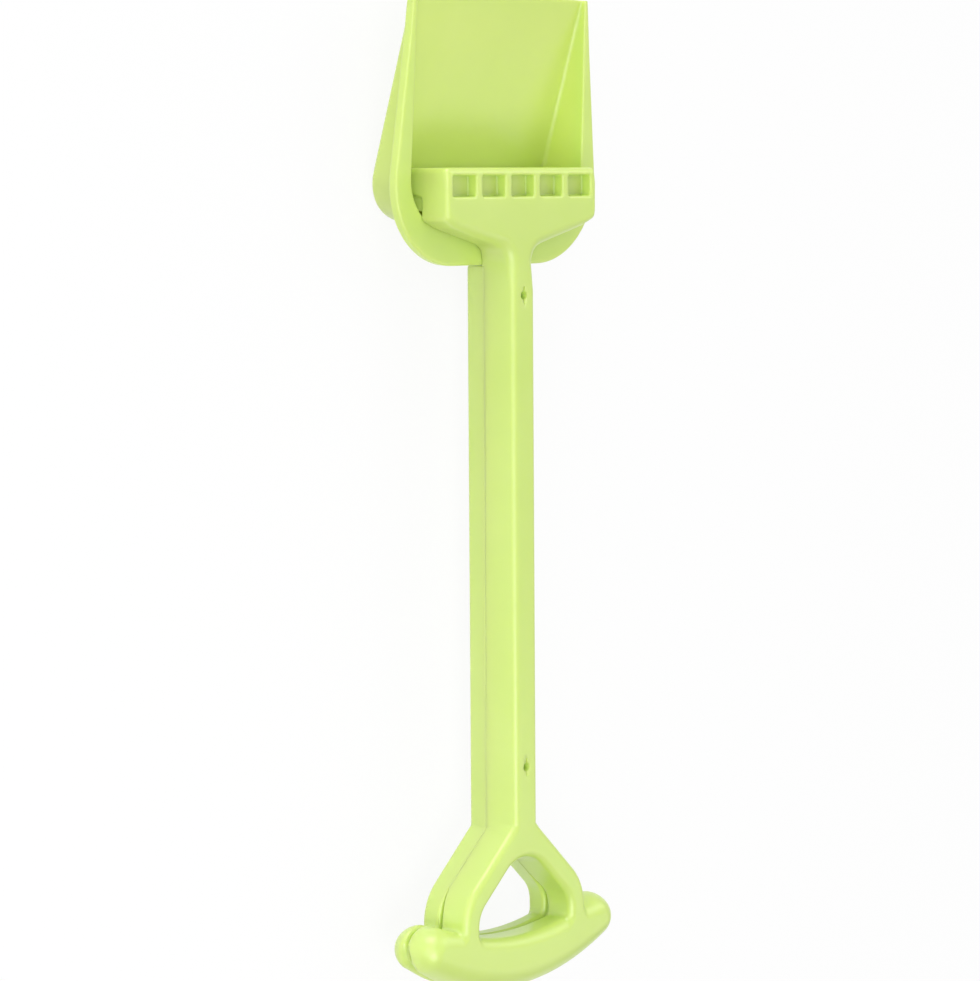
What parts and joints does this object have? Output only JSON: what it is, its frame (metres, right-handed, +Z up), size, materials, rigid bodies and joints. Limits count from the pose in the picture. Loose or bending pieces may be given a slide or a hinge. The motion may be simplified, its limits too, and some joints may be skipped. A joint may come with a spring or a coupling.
{
  "type": "sand shovel",
  "caption": "Child's long-handled sand shovel with a flat-tipped open scoop, a two-shell shaft and a D-shaped hand grip.",
  "frame": {"origin": "under the middle of the overall length, on the plane through the lowest point of the scoop's back, with the shovel lying on its back and its shaft level", "axes": "+X along the shaft from the grip to the scoop's tip, +Y across it to the left when the tip is up and the open face is seen, +Z up out of the scoop's open face"},
  "size_m": [0.494, 0.1444, 0.0499],
  "materials": {
    "lime_plastic": "semi-gloss moulded"
  },
  "bodies": {
    "root": {"scoop": "lime_plastic", "front_shell": "lime_plastic", "rear_shell": "lime_plastic"}
  },
  "joints": []
}
